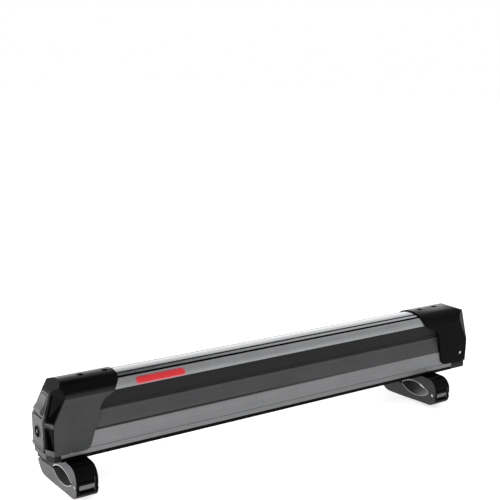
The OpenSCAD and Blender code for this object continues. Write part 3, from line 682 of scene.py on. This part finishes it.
def pad_section(side_table, direction):
    """Closed (y, z) section of a pad that lies above (1) or below (-1) the parting plane."""
    half = []
    for i in range(RIB_STEPS + 1):
        y = i * RIB_STEP
        rib = (0.5 + 0.5 * math.cos(2 * math.pi * y / RIB_PITCH)) ** 0.6
        half.append((y, PARTING_Z + direction * (RIB_ROOT - RIB_DEPTH * rib)))
    corners = [(y, PARTING_Z + direction * away, radius) for y, away, radius in side_table]
    half += rounded(corners)[1:-1]
    back_z = corners[-2][1]
    half.append((0.0, back_z))
    return half + [(-y, z) for y, z in reversed(half) if y > 1e-6]


def wave(x, z):
    """Slow unevenness of a soft extrusion, at most 0.12 mm."""
    return (0.05 * math.sin(x * 0.031 + z * 0.21) + 0.04 * math.sin(x * 0.083 + 1.3)
            + 0.03 * math.sin(x * 0.0127 + z * 0.6 + 0.4))


def sweep_pad(section, start_at, end):
    """Sweeps a closed section along X from start_at(z) to end."""
    bm = bmesh.new()
    rings = []
    for j in range(PAD_ROWS + 1):
        t = j / PAD_ROWS
        unevenness = min(1.0, 6 * t * (1 - t) + 0.15)  # fades towards both ends
        ring = []
        for y, z in section:
            start = start_at(z)
            x = start + (end - start) * t
            widening = 1 + unevenness * wave(x, z) / PAD_HALF_WIDTH
            ring.append(bm.verts.new(rail_point(x, y * widening, z)))
        rings.append(ring)
    count = len(section)
    for ring, after in zip(rings, rings[1:]):
        for i in range(count):
            k = (i + 1) % count
            bm.faces.new((ring[i], ring[k], after[k], after[i]))
    for ring in (rings[0], rings[-1]):
        bmesh.ops.triangulate(bm, faces=[bm.faces.new(ring)])
    return bm


def lower_pad_start(z):
    """The lower pad's latch end leans towards the hinge as it rises from the rail."""
    return 31.0 + max(0.0, z - RAIL_TOP) * (31.2 / 30.0) + 0.35


def upper_pad_start(z):
    return 68.2


# Pad: body, material, side table, direction from the parting plane, X of both ends
PADS = {
    "lower_pad": ("base", "pad_low", LOWER_PAD_SIDE, -1, lower_pad_start, 785.8),
    "upper_pad": ("arm", "pad_top_shaded", UPPER_PAD_SIDE, 1, upper_pad_start, 784.8),
}
for name, (body, material, side_table, direction, start_at, end) in PADS.items():
    bm = sweep_pad(pad_section(side_table, direction), start_at, end)
    pad = add_piece(name + "_rubber", bm, body, material)
    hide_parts(name)
    modify(pad, "round", "BEVEL", width=0.0007, segments=3, limit_method="ANGLE",
           angle_limit=math.radians(50))
    modify(pad, "normals", "WEIGHTED_NORMAL", weight=60)

# The red bar lies on the near side of the arm's rail, whose side is part of an ellipse
BAR_START, BAR_END = 143.0, 230.0
BAR_ROWS = 24
BAR_CORNER = 1.6
BAR_PROUD = 0.10
BAR_SUNK = 0.05
BAR_HEIGHTS = [99.2 + 0.56 * i for i in range(17)]
ARM_HALF_WIDTH, ARM_HALF_HEIGHT, ARM_CENTRE_Z = 38.8, 24.0, 92.0


def red_bar():
    """A bar as thin as printed film, with rounded corners."""
    zs = BAR_HEIGHTS
    ys = [ARM_HALF_WIDTH * math.sqrt(1 - ((z - ARM_CENTRE_Z) / ARM_HALF_HEIGHT) ** 2)
          for z in zs]
    last = len(zs) - 1
    normals = []
    for i in range(last + 1):
        a, b = max(0, i - 1), min(last, i + 1)
        along = np.array([ys[b] - ys[a], zs[b] - zs[a]])
        normals.append(np.array([along[1], -along[0]]) / np.linalg.norm(along))

    bm = bmesh.new()
    outer, inner = [], []
    for j in range(BAR_ROWS + 1):
        x = BAR_START + (BAR_END - BAR_START) * j / BAR_ROWS
        from_end = min(x - BAR_START, BAR_END - x)
        trim = 0.0
        if from_end <= BAR_CORNER:
            chord = BAR_CORNER ** 2 - (BAR_CORNER - from_end) ** 2
            trim = BAR_CORNER - math.sqrt(max(0.0, chord))
        outer.append([])
        inner.append([])
        for z, normal in zip(zs, normals):
            z = min(max(z, zs[0] + trim), zs[-1] - trim)
            y = float(np.interp(z, zs, ys))
            for ring, offset in ((outer[-1], BAR_PROUD), (inner[-1], -BAR_SUNK)):
                point = rail_point(x, -(y + offset * normal[0]), z + offset * normal[1])
                ring.append(bm.verts.new(point))

    for j in range(BAR_ROWS):
        out_a, out_b, in_a, in_b = outer[j], outer[j + 1], inner[j], inner[j + 1]
        for i in range(last):
            bm.faces.new((out_a[i], out_a[i + 1], out_b[i + 1], out_b[i]))
            bm.faces.new((in_a[i], in_b[i], in_b[i + 1], in_a[i + 1]))
        for i in (0, last):
            bm.faces.new((out_a[i], out_b[i], in_b[i], in_a[i]))
    for out_end, in_end in ((outer[0], inner[0]), (outer[-1], inner[-1])):
        for i in range(last):
            bm.faces.new((out_end[i], in_end[i], in_end[i + 1], out_end[i + 1]))
    return bm


add_piece("red_side_bar", red_bar(), "arm", "red")

# --------------------------------------------------------------- the studio --
# Sizes and places here are in metres unless they go through rail_point.

scene = bpy.context.scene

FLOOR_GAP = 0.0003  # below the lowest piece
FLOOR_REACH = 9.0  # to the front and to both sides
FLOOR_EXTRA = 7.0  # added behind


def floor_material():
    """Pale and slightly glowing; it glows more for the camera than for the light it gives."""
    material = bpy.data.materials.new("pale_floor")
    material.use_nodes = True
    tree = material.node_tree
    inputs = tree.nodes["Principled BSDF"].inputs
    inputs["Base Color"].default_value = (0.86, 0.86, 0.865, 1)
    inputs["Roughness"].default_value = 0.75
    inputs["Specular IOR Level"].default_value = 0.15
    inputs["Emission Color"].default_value = (1, 1, 1, 1)
    light_path = tree.nodes.new("ShaderNodeLightPath")
    glow = tree.nodes.new("ShaderNodeMapRange")
    glow.inputs["To Min"].default_value = 0.45
    glow.inputs["To Max"].default_value = 0.66
    tree.links.new(light_path.outputs["Is Camera Ray"], glow.inputs["Value"])
    tree.links.new(glow.outputs["Result"], inputs["Emission Strength"])
    return material


def add_floor():
    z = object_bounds()[0].z - FLOOR_GAP
    front, back = -FLOOR_REACH, FLOOR_REACH + FLOOR_EXTRA
    corners = ((-FLOOR_REACH, front), (FLOOR_REACH, front),
               (FLOOR_REACH, back), (-FLOOR_REACH, back))
    bm = bmesh.new()
    bm.faces.new([bm.verts.new((x, y, z)) for x, y in corners])
    floor = mesh_object("floor", bm)
    floor.data.materials.append(floor_material())


def add_world():
    """A soft room, bright to the front and round the horizon, with a dark patch high behind
    the latch end. The camera sees plain white."""
    world = bpy.data.worlds.new("studio")
    scene.world = world
    world.use_nodes = True
    graph = Graph(world.node_tree, "Generated")
    split = graph.node("ShaderNodeSeparateXYZ", Vector=graph.coordinate).outputs

    def ramp(letter, source, target=UP):
        return graph.remap(split[letter], source, target, smooth=True)

    def blend(factor, a, b):
        return graph.node("ShaderNodeMix", Factor=factor, A=a, B=b).outputs[0]

    front = ramp("Z", (0.30, 0.95), (1.0, 0.6))
    high_behind = ramp("X", (0.38, 0.62), (0.03, 1.1))
    behind = blend(ramp("Z", (0.55, 0.66)), 1.35, high_behind)
    strength = blend(ramp("Y", (0.20, 0.42)), front, behind)
    room = graph.node("ShaderNodeBackground", Color=(0.98, 0.99, 1.0), Strength=strength)
    white = graph.node("ShaderNodeBackground", Color=(1, 1, 1), Strength=1.0)
    switch = graph.node("ShaderNodeMixShader")
    camera_ray = graph.node("ShaderNodeLightPath").outputs["Is Camera Ray"]
    for socket, value in zip(switch.inputs, (camera_ray, room.outputs[0], white.outputs[0])):
        graph.plug(socket, value)
    graph.node("ShaderNodeOutputWorld", Surface=switch.outputs[0])


def add_soft_box(name, place, target, width, height, radiance):
    """A rectangular light whose surface has the given radiance, unseen by the camera."""
    light = bpy.data.lights.new(name, "AREA")
    light.shape = "RECTANGLE"
    light.size = width
    light.size_y = height
    light.energy = radiance * width * height * math.pi
    box = bpy.data.objects.new(name, light)
    scene.collection.objects.link(box)
    box.location = place
    box.rotation_mode = "QUATERNION"
    box.rotation_quaternion = (target - place).to_track_quat("-Z", "Y")
    box.visible_camera = False


def add_camera():
    lens = bpy.data.cameras.new("camera")
    lens.lens = 70.5
    lens.sensor_width = 36.0
    lens.sensor_fit = "HORIZONTAL"
    lens.clip_start = 0.05
    lens.clip_end = 60.0
    camera = bpy.data.objects.new("camera", lens)
    scene.collection.objects.link(camera)
    right = Vector((0.83857, -0.54480, 0.0))
    up = Vector((0.11108, 0.17098, 0.97899))
    back = Vector((-0.53335, -0.82095, 0.20390))
    camera.rotation_mode = "QUATERNION"
    camera.rotation_quaternion = Matrix((right, up, back)).transposed().to_quaternion()
    camera.location = Vector((-0.541, -1.338, 0.648))
    scene.camera = camera


add_floor()
add_world()

middle = rail_point(420, 0, 60)
add_soft_box("back_box", middle + Vector((0.8, 2.2, 0.50)), middle,
             width=3.2, height=0.7, radiance=0.8)
add_soft_box("left_box", rail_point(-430, 260, 60), rail_point(0, 0, 40),
             width=0.5, height=0.5, radiance=5.0)
add_soft_box("front_left_box", rail_point(-700, -900, 250), rail_point(150, 0, 60),
             width=0.6, height=0.6, radiance=3.0)

scene.view_settings.view_transform = "Standard"
scene.view_settings.look = "None"
scene.view_settings.exposure = 0.0
scene.view_settings.gamma = 1.0

add_camera()
